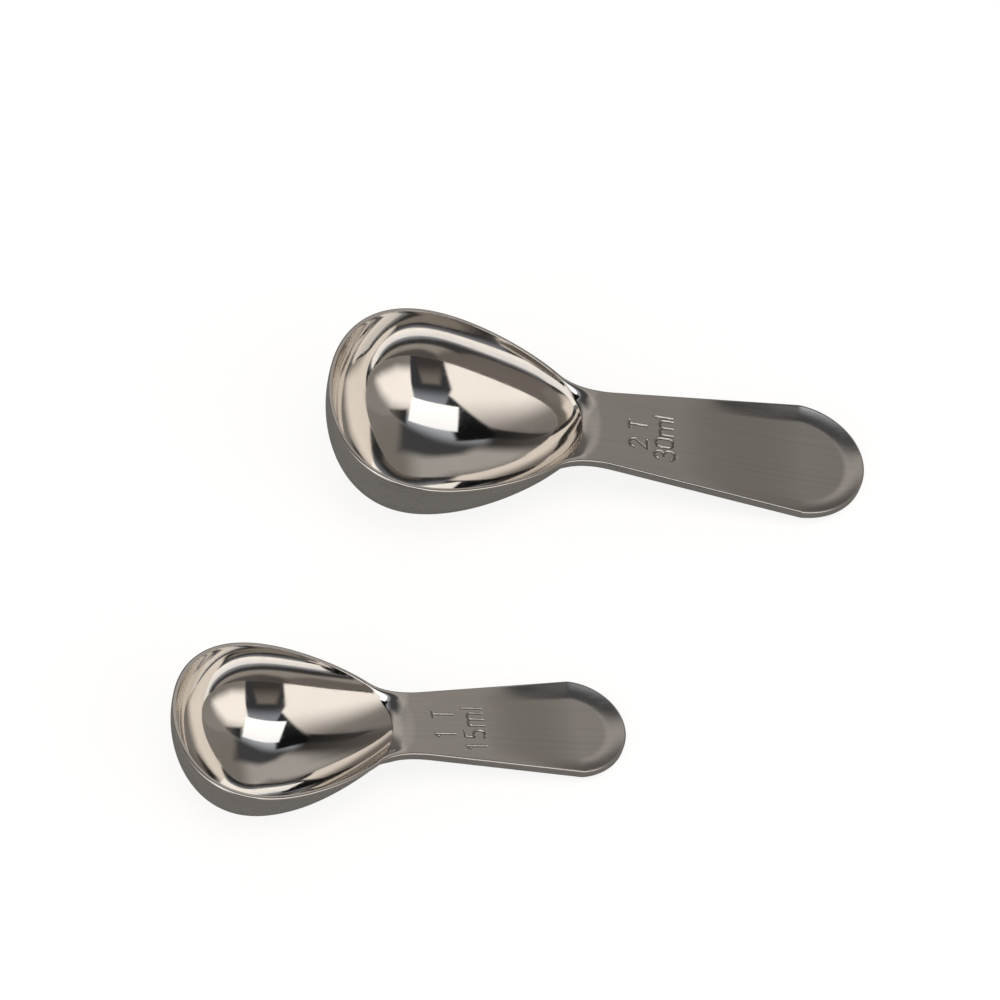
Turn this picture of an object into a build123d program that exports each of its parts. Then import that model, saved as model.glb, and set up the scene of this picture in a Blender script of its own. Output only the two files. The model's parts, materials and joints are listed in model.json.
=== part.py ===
from build123d import *
from dataclasses import dataclass
from math import atan2, cos, degrees, pi, radians, sin, tan
import os

# Two measuring scoops, each pressed from one steel sheet, lying on a table at z = 0.
# In the set's frame X runs along the handles and Y away from the viewer.
# In a scoop's own frame the plane of the rim is z = 0, x runs towards the handle,
# and the origin is the middle of the bowl's mouth.

# Sheet and small details, the same on both scoops
WALL = 0.9
PLATE = 2.0
NECK_FILLET = 2.8
EDGE_ROUND = 0.3
TIP_CORNER = 3.0
CUT_OVERRUN = 1.0

# Handle dish: a thumb rest that deepens towards the tip
DISH_LIP = 0.5
DISH_SIDE_ANGLE = 55.0

# Stamped capacity marks
MARK_STROKE = 0.45
MARK_DEPTH = 0.15

# Large scoop, 30 ml
LARGE_MOUTH_LENGTH = 55.2
LARGE_MOUTH_BREADTH = 46.8
LARGE_BOWL_DEPTH = 21.9
LARGE_SEAT_X = -3.8
LARGE_NECK_X = 34.0
LARGE_NECK_WIDTH = 20.6
LARGE_SHOULDER_X = 75.5
LARGE_SHOULDER_WIDTH = 30.5
LARGE_TIP_X = 89.7
LARGE_DISH_X = 50.0
LARGE_DISH_DEPTH = 1.0
LARGE_CAP_HEIGHT = 3.9
LARGE_DIGIT_WIDTH = 2.4
LARGE_LETTER_GAP = 0.95
LARGE_SPOON_MARK_X = 41.3
LARGE_SPOON_MARK_Y = -4.2
LARGE_ML_MARK_X = 47.1
LARGE_ML_MARK_Y = -6.5
LARGE_PLACE_X = -14.3
LARGE_PLACE_Y = 38.5
LARGE_YAW = -0.9

# Small scoop, 15 ml
SMALL_MOUTH_LENGTH = 46.1
SMALL_MOUTH_BREADTH = 37.3
SMALL_BOWL_DEPTH = 17.3
SMALL_SEAT_X = -3.4
SMALL_NECK_X = 29.5
SMALL_NECK_WIDTH = 16.7
SMALL_SHOULDER_X = 61.0
SMALL_SHOULDER_WIDTH = 24.0
SMALL_TIP_X = 71.8
SMALL_DISH_X = 42.0
SMALL_DISH_DEPTH = 0.9
SMALL_CAP_HEIGHT = 4.4
SMALL_DIGIT_WIDTH = 1.9
SMALL_LETTER_GAP = 1.25
SMALL_SPOON_MARK_X = 35.1
SMALL_SPOON_MARK_Y = -3.65
SMALL_ML_MARK_X = 41.4
SMALL_ML_MARK_Y = -6.7
SMALL_PLACE_X = -49.0
SMALL_PLACE_Y = -42.7
SMALL_YAW = 8.0

# Form of the mouth: how far it tapers to the neck, swells at its middle, and how
# blunt its neck end is
TAPER_SHARE = 0.29
SWELL_SHARE = 0.035
NECK_BLUNTNESS = 0.25

# Fullness of the bowl's wall at the front, the sides and the neck: 2 is an ellipse,
# more is a steeper wall over a flatter floor
LARGE_FULLNESS = (2.25, 2.15, 1.63)
SMALL_FULLNESS = (2.22, 2.03, 1.43)

# Levels of the bowl's loft: first as shares of the fillet under the neck, then as
# shares of the depth below it. The floor share is the size of the bowl's flat floor.
FILLET_SHARES = (0.0, 0.25, 0.6, 1.0)
LEVEL_SHARES = (0.14, 0.34, 0.54, 0.72, 0.86, 0.95, 0.985, 0.997, 1.0)
FLOOR_SHARE = 0.04
OUTLINE_POINTS = 24

# Turns round the mouth, in degrees, where the handle leaves it and where the fillet
# under the neck starts and is full
NECK_TURN = 140.0
FILLET_START_TURN = 130.0
FILLET_FULL_TURN = 165.0


@dataclass(frozen=True)
class Scoop:
    """Driving sizes of one scoop."""

    mouth_length: float
    mouth_breadth: float
    bowl_depth: float
    seat_x: float
    fullness: tuple
    neck_x: float
    neck_width: float
    shoulder_x: float
    shoulder_width: float
    tip_x: float
    dish_x: float
    dish_depth: float
    cap_height: float
    digit_width: float
    letter_gap: float
    marks: tuple
    place_x: float
    place_y: float
    yaw: float


def blend(angle):
    """Shares of the front and of the neck in the wall that faces this angle."""
    return ((1 + cos(angle)) / 2) ** 2, ((1 - cos(angle)) / 2) ** 2


def mouth_point(scoop, angle, wall):
    """Point of the mouth's outline, grown by a wall; angle 0 is the front."""
    half_length = scoop.mouth_length / 2 + wall
    half_breadth = scoop.mouth_breadth / 2 + wall
    power = 2 / (2 + NECK_BLUNTNESS * blend(angle)[1])
    side = abs(sin(angle)) ** power * (1 if sin(angle) >= 0 else -1)
    form = 1 + TAPER_SHARE * cos(angle) + SWELL_SHARE * cos(angle) ** 2
    return -half_length * cos(angle), half_breadth * side * form


def bowl_point(scoop, angle, depth_share, wall):
    """Point of the bowl's surface at a level, drawn in towards the seat as it sinks."""
    front, neck = blend(angle)
    at_front, at_side, at_neck = scoop.fullness
    fullness = at_side + (at_front - at_side) * front + (at_neck - at_side) * neck
    size = max((1 - min(depth_share, 1) ** fullness) ** (1 / fullness), FLOOR_SHARE)
    x, y = mouth_point(scoop, angle, wall)
    return scoop.seat_x + size * (x - scoop.seat_x), size * y


def neck_fillet(angle, sunk):
    """How far the fillet under the neck stands out, at a depth below the handle."""
    span = radians(FILLET_FULL_TURN - FILLET_START_TURN)
    rise = (pi - abs(angle - pi) - radians(FILLET_START_TURN)) / span
    rise = min(max(rise, 0), 1)
    left = NECK_FILLET - min(max(sunk, 0), NECK_FILLET)
    return rise**2 * (3 - 2 * rise) * (NECK_FILLET - (NECK_FILLET**2 - left**2) ** 0.5)


def bowl_outline(scoop, depth, wall):
    """Points of the bowl's outline at a depth; with a wall, the fillet is part of it."""
    outline = []
    for i in range(OUTLINE_POINTS):
        angle = 2 * pi * i / OUTLINE_POINTS
        x, y = bowl_point(scoop, angle, depth / (scoop.bowl_depth + wall), wall)
        if wall:
            x += neck_fillet(angle, depth - PLATE)
        outline.append((x, y))
    return outline


def resting_pose(scoop):
    """Tilt and height at which bowl and handle tip both touch the table."""
    depth = scoop.bowl_depth + WALL
    steps = [i / 200 for i in range(201)]
    neck_line = [(bowl_point(scoop, pi, s, WALL)[0], -s * depth) for s in steps]

    def drop(x, z, tilt):
        return x * sin(tilt) - z * cos(tilt)

    low, high = 0.0, pi / 4
    for _ in range(40):
        tilt = (low + high) / 2
        bowl = max(drop(x, z, tilt) for x, z in neck_line)
        if bowl > drop(scoop.tip_x, -PLATE, tilt):
            low = tilt
        else:
            high = tilt
    return tilt, bowl


def rim_plane(scoop):
    """Plane of the rim as the scoop lies on the table."""
    tilt, height = resting_pose(scoop)
    yaw = radians(scoop.yaw)
    along = (cos(yaw) * cos(tilt), sin(yaw) * cos(tilt), -sin(tilt))
    up = (cos(yaw) * sin(tilt), sin(yaw) * sin(tilt), cos(tilt))
    return Plane(origin=(scoop.place_x, scoop.place_y, height), x_dir=along, z_dir=up)


def bowl_solid(scoop, rim, wall):
    """Solid of the bowl out to a wall; with no wall it is the space inside."""
    below = scoop.bowl_depth + wall - PLATE - NECK_FILLET
    depths = [0]
    depths += [PLATE + share * NECK_FILLET for share in FILLET_SHARES]
    depths += [PLATE + NECK_FILLET + share * below for share in LEVEL_SHARES]
    with BuildPart() as bowl:
        for depth in depths:
            with BuildSketch(rim.offset(-depth)):
                with BuildLine():
                    Spline(bowl_outline(scoop, depth, wall), periodic=True)
                make_face()
        loft()
    return bowl.part


def handle_outline(scoop):
    """Edges of the handle plate: neck curves, straight sides and the round tip."""
    turn = radians(NECK_TURN)
    nudge = radians(1)
    start_x, start_y = mouth_point(scoop, turn, WALL / 2)
    ahead_x, ahead_y = mouth_point(scoop, turn + nudge, WALL / 2)
    neck_y = scoop.neck_width / 2
    shoulder_y = scoop.shoulder_width / 2
    leave = (ahead_x - start_x, ahead_y - start_y)
    arrive = (scoop.shoulder_x - scoop.neck_x, shoulder_y - neck_y)
    for side in (1, -1):
        root = (start_x, side * start_y)
        neck = (scoop.neck_x, side * neck_y)
        shoulder = (scoop.shoulder_x, side * shoulder_y)
        tangents = ((leave[0], side * leave[1]), (arrive[0], side * arrive[1]))
        Spline(root, neck, tangents=tangents)
        Line(neck, shoulder)
    ThreePointArc(
        (scoop.shoulder_x, shoulder_y), (scoop.tip_x, 0), (scoop.shoulder_x, -shoulder_y)
    )
    Line((start_x, -start_y), (start_x, start_y))


# Strokes of the capacity marks: points as shares of a digit's width and of the cap
# height, two for a straight stroke and three for an arc
STROKE_SHARES = {
    "0": (
        ((0, 0.3), (0, 0.7)),
        ((0, 0.7), (0.5, 1), (1, 0.7)),
        ((1, 0.7), (1, 0.3)),
        ((1, 0.3), (0.5, 0), (0, 0.3)),
    ),
    "1": (((0.5, 0), (0.5, 1)), ((0.5, 1), (0.15, 0.82))),
    "2": (((0, 0.76), (0.52, 1), (0.96, 0.68)), ((0.96, 0.68), (0, 0)), ((0, 0), (1, 0))),
    "3": (((0.05, 0.86), (0.92, 0.76), (0.4, 0.54)), ((0.4, 0.54), (1, 0.27), (0, 0.12))),
    "5": (((0.9, 1), (0.15, 1)), ((0.15, 1), (0.06, 0.56)), ((0.06, 0.56), (1, 0.32), (0, 0.08))),
    "T": (((0, 1), (0.9, 1)), ((0.45, 1), (0.45, 0))),
    "m": (
        ((0, 0), (0, 0.72)),
        ((0, 0.5), (0.42, 0.72), (0.84, 0.5)),
        ((0.84, 0.5), (0.84, 0)),
        ((0.84, 0.5), (1.26, 0.72), (1.68, 0.5)),
        ((1.68, 0.5), (1.68, 0)),
    ),
    "l": (((0, 0), (0, 1)),),
    " ": (),
}
ADVANCE_SHARES = {"m": 1.68, "l": 0.0, " ": 0.4, "T": 0.9}


def mark_strokes(scoop, word):
    """Slots along the strokes of one capacity mark, from the origin of its plane."""
    start = 0
    for letter in word:
        for stroke in STROKE_SHARES[letter]:
            points = [(start + u * scoop.digit_width, v * scoop.cap_height) for u, v in stroke]
            if len(points) == 3:
                SlotArc(Edge.make_three_point_arc(*points), MARK_STROKE)
            else:
                (x1, y1), (x2, y2) = points
                length = ((x2 - x1) ** 2 + (y2 - y1) ** 2) ** 0.5
                with Locations(((x1 + x2) / 2, (y1 + y2) / 2)):
                    SlotCenterToCenter(
                        length, MARK_STROKE, rotation=degrees(atan2(y2 - y1, x2 - x1))
                    )
        start += ADVANCE_SHARES.get(letter, 1) * scoop.digit_width + scoop.letter_gap


def on_rim(rim, x, y):
    """Where a point of the rim's plane lies in the set's frame."""
    return rim.from_local_coords(Vector(x, y, 0))


def dish_plane(scoop, rim):
    """Floor of the handle's dish, sinking from its start towards the tip."""
    fall = atan2(scoop.dish_depth, scoop.tip_x - scoop.dish_x)
    along = rim.x_dir * cos(fall) - rim.z_dir * sin(fall)
    up = rim.x_dir * sin(fall) + rim.z_dir * cos(fall)
    return Plane(origin=on_rim(rim, scoop.dish_x, 0), x_dir=along, z_dir=up)


def dish_outline(scoop):
    """Edges of the dish's floor, inside the handle by the lip and the sloping wall."""
    slope = (scoop.shoulder_width - scoop.neck_width) / 2 / (scoop.shoulder_x - scoop.neck_x)
    inset = DISH_LIP + scoop.dish_depth * tan(radians(DISH_SIDE_ANGLE))
    start_y = scoop.neck_width / 2 + slope * (scoop.dish_x - scoop.neck_x) - inset
    shoulder_y = scoop.shoulder_width / 2 - inset
    shoulder_x = scoop.shoulder_x - scoop.dish_x
    tip_x = scoop.tip_x - inset - scoop.dish_x
    Polyline(
        (shoulder_x, -shoulder_y), (0, -start_y), (0, start_y), (shoulder_x, shoulder_y)
    )
    ThreePointArc((shoulder_x, shoulder_y), (tip_x, 0), (shoulder_x, -shoulder_y))


def scoop_solid(scoop):
    """One scoop, pressed from the sheet, lying in its place on the table."""
    rim = rim_plane(scoop)
    space = bowl_solid(scoop, rim, 0)
    shell = bowl_solid(scoop, rim, WALL)
    print("space inside, ml:", round(space.volume / 1000, 2))
    with BuildPart() as body:
        with BuildSketch(rim) as plate:
            with BuildLine():
                handle_outline(scoop)
            make_face()
            fillet(plate.vertices().sort_by(Axis.X)[-2:], TIP_CORNER)
        extrude(amount=-PLATE)
        along = Axis(rim.origin, rim.x_dir)
        fillet(body.edges().filter_by(rim).sort_by(along)[2:], EDGE_ROUND)
        add(shell)
        add(space, mode=Mode.SUBTRACT)
        with BuildSketch(dish_plane(scoop, rim)):
            with BuildLine():
                dish_outline(scoop)
            make_face()
        extrude(amount=scoop.dish_depth + CUT_OVERRUN, taper=-DISH_SIDE_ANGLE, mode=Mode.SUBTRACT)
        for word, mark_x, mark_y in scoop.marks:
            line = Plane(origin=on_rim(rim, mark_x, mark_y), x_dir=rim.y_dir, z_dir=rim.z_dir)
            with BuildSketch(line):
                mark_strokes(scoop, word)
            extrude(amount=-MARK_DEPTH, mode=Mode.SUBTRACT)
    return body.part


LARGE = Scoop(
    mouth_length=LARGE_MOUTH_LENGTH,
    mouth_breadth=LARGE_MOUTH_BREADTH,
    bowl_depth=LARGE_BOWL_DEPTH,
    seat_x=LARGE_SEAT_X,
    fullness=LARGE_FULLNESS,
    neck_x=LARGE_NECK_X,
    neck_width=LARGE_NECK_WIDTH,
    shoulder_x=LARGE_SHOULDER_X,
    shoulder_width=LARGE_SHOULDER_WIDTH,
    tip_x=LARGE_TIP_X,
    dish_x=LARGE_DISH_X,
    dish_depth=LARGE_DISH_DEPTH,
    cap_height=LARGE_CAP_HEIGHT,
    digit_width=LARGE_DIGIT_WIDTH,
    letter_gap=LARGE_LETTER_GAP,
    marks=(
        ("2 T", LARGE_SPOON_MARK_X, LARGE_SPOON_MARK_Y),
        ("30ml", LARGE_ML_MARK_X, LARGE_ML_MARK_Y),
    ),
    place_x=LARGE_PLACE_X,
    place_y=LARGE_PLACE_Y,
    yaw=LARGE_YAW,
)
SMALL = Scoop(
    mouth_length=SMALL_MOUTH_LENGTH,
    mouth_breadth=SMALL_MOUTH_BREADTH,
    bowl_depth=SMALL_BOWL_DEPTH,
    seat_x=SMALL_SEAT_X,
    fullness=SMALL_FULLNESS,
    neck_x=SMALL_NECK_X,
    neck_width=SMALL_NECK_WIDTH,
    shoulder_x=SMALL_SHOULDER_X,
    shoulder_width=SMALL_SHOULDER_WIDTH,
    tip_x=SMALL_TIP_X,
    dish_x=SMALL_DISH_X,
    dish_depth=SMALL_DISH_DEPTH,
    cap_height=SMALL_CAP_HEIGHT,
    digit_width=SMALL_DIGIT_WIDTH,
    letter_gap=SMALL_LETTER_GAP,
    marks=(
        ("1 T", SMALL_SPOON_MARK_X, SMALL_SPOON_MARK_Y),
        ("15ml", SMALL_ML_MARK_X, SMALL_ML_MARK_Y),
    ),
    place_x=SMALL_PLACE_X,
    place_y=SMALL_PLACE_Y,
    yaw=SMALL_YAW,
)

os.makedirs("parts", exist_ok=True)
for name, sizes in (("large_scoop", LARGE), ("small_scoop", SMALL)):
    with BuildPart() as scoop:
        add(scoop_solid(sizes))
    scoop.part.label = name
    export_step(scoop.part, f"parts/{name}.step")
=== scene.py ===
"""Looks of two pressed steel measuring scoops that lie on a pale table.

The frame gives the plane of each scoop's rim. Each scoop is then built as one closed
mesh from the same form as its solid, fine enough for a mirror finish, and dressed in
steel: mirror polished inside the bowl, satin and brushed on the handle and outside.
"""

import json
import logging
from dataclasses import dataclass
from enum import Enum
from math import atan2, cos, hypot, pi, radians, sin, sqrt

import bmesh
import bpy
import numpy as np
from mathutils import Matrix, Vector

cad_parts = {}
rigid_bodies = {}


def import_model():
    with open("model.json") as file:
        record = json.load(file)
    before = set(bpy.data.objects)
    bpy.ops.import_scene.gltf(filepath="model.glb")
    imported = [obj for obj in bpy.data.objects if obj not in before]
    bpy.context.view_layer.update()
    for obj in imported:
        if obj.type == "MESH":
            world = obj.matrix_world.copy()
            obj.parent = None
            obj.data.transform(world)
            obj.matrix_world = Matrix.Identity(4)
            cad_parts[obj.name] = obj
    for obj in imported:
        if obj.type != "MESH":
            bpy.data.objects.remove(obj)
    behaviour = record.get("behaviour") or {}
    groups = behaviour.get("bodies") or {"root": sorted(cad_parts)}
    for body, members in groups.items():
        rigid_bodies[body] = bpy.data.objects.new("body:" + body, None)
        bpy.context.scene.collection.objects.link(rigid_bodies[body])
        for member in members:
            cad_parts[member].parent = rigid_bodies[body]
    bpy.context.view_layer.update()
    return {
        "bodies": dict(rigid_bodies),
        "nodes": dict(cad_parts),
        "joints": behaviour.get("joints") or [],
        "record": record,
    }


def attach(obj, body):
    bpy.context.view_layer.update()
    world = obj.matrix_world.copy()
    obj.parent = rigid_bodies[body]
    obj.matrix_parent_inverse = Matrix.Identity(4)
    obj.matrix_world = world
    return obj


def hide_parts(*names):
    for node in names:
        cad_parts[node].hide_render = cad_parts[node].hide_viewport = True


log = logging.getLogger("scoops")

MM = 0.001

# The steel sheet and its small edges
WALL = 0.9 * MM
PLATE = 2.0 * MM
EDGE_ROUND = 0.4 * MM
RIM_ROUND = 0.15 * MM
NECK_FILLET = 2.8 * MM
TIP_CORNER = 3.0 * MM

# The mouth's lip: its widths, its fall as a share of them, and its rolled slope
LIP_ROLL = 3.8 * MM
LIP_THIN = 0.32 * MM
LIP_DROP = 0.3
LIP_BEND = 2.3
LIP_EDGE_SHARE = 0.5
LIP_MARGIN = 0.18 * MM
LIP_HOLD = 6

# The dish in the handle: breadth of its wall, and how soon and how roundly it falls
DISH_WALL = 3.8 * MM
DISH_PACE = 1.5
DISH_BEND = 1.5

# The bowl's floor: share of the mouth that is evened, and the rings it is evened over
FLOOR_SHARE = 0.62
FLOOR_RINGS = ((0.35, 8), (0.7, 12), (1.0, 16))
FLOOR_FALL = 1.5
FLOOR_WEIGHT = 2.6

# The stamped marks: where a groove's slope ends, and where its own rougher finish begins, whose
# dark colour is painted shade in the groove
GROOVE_REACH = 1.15
MARK_FLOOR = 0.55
MARK_SHARE = 0.5

# Form of the mouth, as on the solids
TAPER_SHARE = 0.29
SWELL_SHARE = 0.035
NECK_BLUNTNESS = 0.25
NECK_TURN = radians(140)
LIP_START = radians(112)
LIP_TURN = radians(160)
SLOPE_TURN = radians(95)
FILLET_TURN = radians(165)

# Fineness of the meshes
MARK_STEP = 0.11 * MM
FLANK_STEP = 0.3 * MM
HANDLE_STEP = 0.9 * MM
FRONT_COLUMNS = 132
BOWL_ROWS = 54
LIP_ROWS = 12
LIP_EDGE_ROWS = 4
EDGE_ROWS = 6
WALL_ROWS = 3
RING_ROWS = 3
RING_STEP = 0.12 * MM
NECK_ROWS = 16
NECK_JOIN = 3.0 * MM
NECK_SAMPLES = 721
EVEN_STEPS = 1600
TIP_ROWS = 34
TIP_LEAD = 3.0 * MM
TIP_SWEEP = radians(45)
TIP_GRADE = 1.5
LOWER_PACE = 1.25
BEARING_SAMPLES = 1441
TURN_STEP = 0.01
SIDE_STEPS = 80
CORNER_POINTS = 12
TIP_STEPS = 120
STROKE_STEPS = 12
WELD = 0.0005 * MM

# Inputs and output of a colour mix: its share, its two colours and its result
MIX_INPUTS = (0, 6, 7)
MIX_OUTPUT = 2

# Polished steel, and where the polish of the bowl ends on the handle
POLISHED = (0.765, 0.737, 0.705, 1.0)
POLISHED_ROUGHNESS = 0.05
POLISH_REACH = 2.2 * MM
POLISH_SIDES = (0.8 * MM, 6.5 * MM)
POLISH_RAGGED = 1.6 * MM
POLISH_FADE = 1.4 * MM

# How strongly the shared effects show in the steel
LINE_SHARE = 0.35
BAND_RELIEF = 0.4
HAZE_ROUGHNESS = 0.03

# Light of the studio, the table's tints, and the share of its glow that metal mirrors
SKY_STRENGTH = 1.09
SKY_LOWEST = -0.9
FLOOR_GLOW = 0.84
GLOSSY_SHARE = 0.05
GLOSSY_BOUNCES = 12
PAPER_LIGHT = (1.0, 0.985, 0.965)
PAPER_DARK = (0.96, 0.95, 0.93)

# The camera's sensor in millimetres, and the nearest distance that it sees in metres
SENSOR = 36.0
NEAREST = 0.01


def smooth(value: np.ndarray) -> np.ndarray:
    """Ramp from 0 to 1 with level ends."""
    t = np.clip(value, 0.0, 1.0)
    return t * t * (3.0 - 2.0 * t)


class Finish(Enum):
    """Finishes of one scoop, in the order of its material slots."""

    BOWL = 0
    RIM = 1
    HANDLE = 2
    OUTSIDE = 3
    EDGE = 4
    # the grooves of the marks, whose dark colour is painted shade
    MARK = 5


@dataclass(frozen=True)
class Pose:
    """Where a scoop's own frame lies: z is the normal of its rim's plane.

    Attributes:
        origin: middle of the bowl's mouth.
        axes: the frame's x, y and z directions.
    """

    origin: Vector
    axes: tuple[Vector, Vector, Vector]

    @classmethod
    def from_mount(cls, record: dict, name: str, along: float) -> "Pose":
        """Reads the rim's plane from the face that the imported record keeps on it.

        Args:
            record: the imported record.
            name: the flat face on the rim and the handle's top.
            along: how far from the mouth's middle the face's point lies.

        Returns:
            The pose of the scoop.
        """
        mount = next(m for m in record["mounts"] if m["name"] == name)
        up = Vector(mount["axis"]).normalized()
        across = Vector((0, 0, 1)).cross(up).normalized()
        forward = across.cross(up)
        return cls(Vector(mount["pos_m"]) - forward * along, (forward, across, up))

    def matrix(self) -> Matrix:
        """World matrix of the scoop's own frame."""
        turn = Matrix([list(axis) for axis in self.axes]).transposed()
        return Matrix.Translation(self.origin) @ turn.to_4x4()


class GridMesh:
    """Collects grids of points and welds them into one closed mesh."""

    def __init__(self) -> None:
        """Starts with no points."""
        self.points: list[np.ndarray] = []
        self.faces: list[np.ndarray] = []
        self.finishes: list[np.ndarray] = []
        self.count = 0

    def add(
        self,
        grid: np.ndarray,
        finish: Finish,
        closed: bool = False,
        marked: np.ndarray | None = None,
    ) -> None:
        """Adds a grid of quads.

        Args:
            grid: points as rows, columns and coordinates.
            finish: finish of its faces.
            closed: whether the last column joins the first.
            marked: which points lie in a stamped mark; the faces on them take the marks' finish,
                whose dark colour is painted shade in the groove.
        """
        rows, columns = grid.shape[:2]
        index = np.arange(rows * columns).reshape(rows, columns) + self.count
        if closed:
            index = np.concatenate([index, index[:, :1]], axis=1)
        quads = np.stack([index[:-1, :-1], index[:-1, 1:], index[1:, 1:], index[1:, :-1]], -1)
        quads = quads.reshape(-1, 4)
        self.points.append(grid.reshape(-1, 3))
        self.faces.append(quads)
        values = np.full(len(quads), finish.value)
        if marked is not None:
            # Faces on marked points take the marks' finish, whose dark colour is painted shade.
            inside = marked.reshape(-1)[quads - self.count].mean(axis=1) > MARK_SHARE
            values[inside] = Finish.MARK.value
        self.finishes.append(values)
        self.count += rows * columns

    def build(self, name: str) -> bpy.types.Object:
        """Welds the grids and returns the object.

        Args:
            name: name of the object.

        Returns:
            A smooth shaded mesh object with a material index on each face.
        """
        mesh = bpy.data.meshes.new(name)
        points = np.concatenate(self.points)
        faces = np.concatenate(self.faces)
        mesh.from_pydata(points.tolist(), [], faces.tolist())
        mesh.polygons.foreach_set("material_index", np.concatenate(self.finishes))
        shape = bmesh.new()
        shape.from_mesh(mesh)
        bmesh.ops.remove_doubles(shape, verts=shape.verts, dist=WELD)
        bmesh.ops.dissolve_degenerate(shape, edges=shape.edges, dist=WELD)
        bmesh.ops.recalc_face_normals(shape, faces=shape.faces)
        for face in shape.faces:
            face.smooth = True
        shape.to_mesh(mesh)
        shape.free()
        piece = bpy.data.objects.new(name, mesh)
        bpy.context.scene.collection.objects.link(piece)
        return piece


@dataclass(frozen=True)
class Bowl:
    """Egg-shaped drawn bowl. Turn 0 is its front, a half turn is its neck.

    Attributes:
        mouth_length: inner length of the mouth.
        mouth_breadth: inner breadth before the taper.
        depth: inner depth below the rim.
        seat_x: where the deepest point lies.
        fullness: fullness of the wall at the front, the sides and the neck.
        settle: radius over which the floor is evened out.
        slope_share: how much of the wall's steep top is left out near the neck.
    """

    mouth_length: float
    mouth_breadth: float
    depth: float
    seat_x: float
    fullness: tuple[float, float, float]
    settle: float
    slope_share: float

    def outline(self, turn: np.ndarray, grow: float) -> tuple[np.ndarray, np.ndarray]:
        """Outline of the mouth.

        Args:
            turn: turns of the points.
            grow: distance by which it is grown.

        Returns:
            Their places along and across the scoop.
        """
        toward_neck = ((1 - np.cos(turn)) / 2) ** 2
        power = 2 / (2 + NECK_BLUNTNESS * toward_neck)
        side = np.sign(np.sin(turn)) * np.abs(np.sin(turn)) ** power
        form = 1 + TAPER_SHARE * np.cos(turn) + SWELL_SHARE * np.cos(turn) ** 2
        half_length = self.mouth_length / 2 + grow
        half_breadth = self.mouth_breadth / 2 + grow
        return -half_length * np.cos(turn), half_breadth * side * form

    def wall_power(self, turn: np.ndarray) -> np.ndarray:
        """Fullness of the wall.

        Args:
            turn: turns that it faces.

        Returns:
            The power of its curve at each turn.
        """
        front, side, neck = self.fullness
        toward_front = ((1 + np.cos(turn)) / 2) ** 2
        toward_neck = ((1 - np.cos(turn)) / 2) ** 2
        return side + (front - side) * toward_front + (neck - side) * toward_neck

    def ray(self, turn: np.ndarray, grow: float) -> tuple[np.ndarray, np.ndarray, np.ndarray]:
        """Rays from the seat to the outline.

        Args:
            turn: turns of the rays.
            grow: distance by which the outline is grown.

        Returns:
            Length of each ray and the two parts of its direction.
        """
        x, y = self.outline(turn, grow)
        reach = np.hypot(x - self.seat_x, y)
        return reach, (x - self.seat_x) / reach, y / reach

    def cut(self, turn: np.ndarray) -> tuple[np.ndarray, np.ndarray]:
        """Where the rim cuts the wall's full curve.

        Args:
            turn: turns that the wall faces.

        Returns:
            The shares of the curve's depth and of its reach at the cut.
        """
        near = (pi - np.abs(np.mod(turn, 2 * pi) - pi) - SLOPE_TURN) / (pi - SLOPE_TURN)
        depth = self.slope_share * smooth(near)
        power = self.wall_power(turn)
        return depth, (1 - depth**power) ** (1 / power)

    def height_at(self, x: np.ndarray, y: np.ndarray, grow: float) -> np.ndarray:
        """Height of the surface near the floor.

        Args:
            x: places of the points along the scoop.
            y: places of the points across it.
            grow: 0 for the inside, the wall for the outside.

        Returns:
            The heights.
        """
        turns = np.linspace(-pi, pi, BEARING_SAMPLES)
        reach, ray_x, ray_y = self.ray(turns, grow)
        bearings = np.unwrap(np.arctan2(ray_y, -ray_x))
        bearings += -pi - bearings[0]
        bearing = np.arctan2(y, -(x - self.seat_x))
        turn = np.interp(bearing, bearings, turns)
        size = np.hypot(x - self.seat_x, y) / np.interp(bearing, bearings, reach)
        power = self.wall_power(turn)
        top, wide = self.cut(turn)
        share = (1 - (np.clip(size, 0, 1) * wide) ** power) ** (1 / power)
        return -(self.depth + grow) * (share - top) / (1 - top)

    def surface(self, turn: np.ndarray, sweep: np.ndarray, grow: float) -> np.ndarray:
        """Points of the bowl's surface.

        Args:
            turn: turns of the columns.
            sweep: rows of angles, 0 at the rim and a quarter turn at the floor.
            grow: 0 for the inside, the wall for the outside.

        Returns:
            Points as rows, columns and coordinates.
        """
        reach, ray_x, ray_y = self.ray(turn, grow)
        power = self.wall_power(turn)
        top, wide = self.cut(turn)
        size = np.clip(np.cos(sweep), 0, 1) ** (2 / power) / wide
        share = (np.clip(np.sin(sweep), 0, 1) ** (2 / power) - top) / (1 - top)
        height = -(self.depth + grow) * share
        x = self.seat_x + size * reach * ray_x
        y = size * reach * ray_y
        return np.stack([x, y, self.evened(x, y, height, size, grow)], -1)

    def evened(
        self, x: np.ndarray, y: np.ndarray, height: np.ndarray, size: np.ndarray, grow: float
    ) -> np.ndarray:
        """Evens the floor, where the walls of different fullness meet.

        Args:
            x: places of the points along the scoop.
            y: places of the points across it.
            height: their heights before.
            size: their distance from the seat as a share of the mouth.
            grow: 0 for the inside, the wall for the outside.

        Returns:
            The heights after.
        """
        reach = self.settle * (1 - smooth(size / FLOOR_SHARE))
        total = np.array(height)
        weights = 1.0
        for ring, count in FLOOR_RINGS:
            weight = np.exp(-FLOOR_FALL * ring * ring) * ring * FLOOR_WEIGHT
            for k in range(count):
                angle = 2 * pi * (k + 0.5 * ring) / count
                around = self.height_at(
                    x + reach * ring * cos(angle), y + reach * ring * sin(angle), grow
                )
                total = total + around * weight / count
            weights += weight
        return np.where(size < FLOOR_SHARE, total / weights, height)

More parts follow.
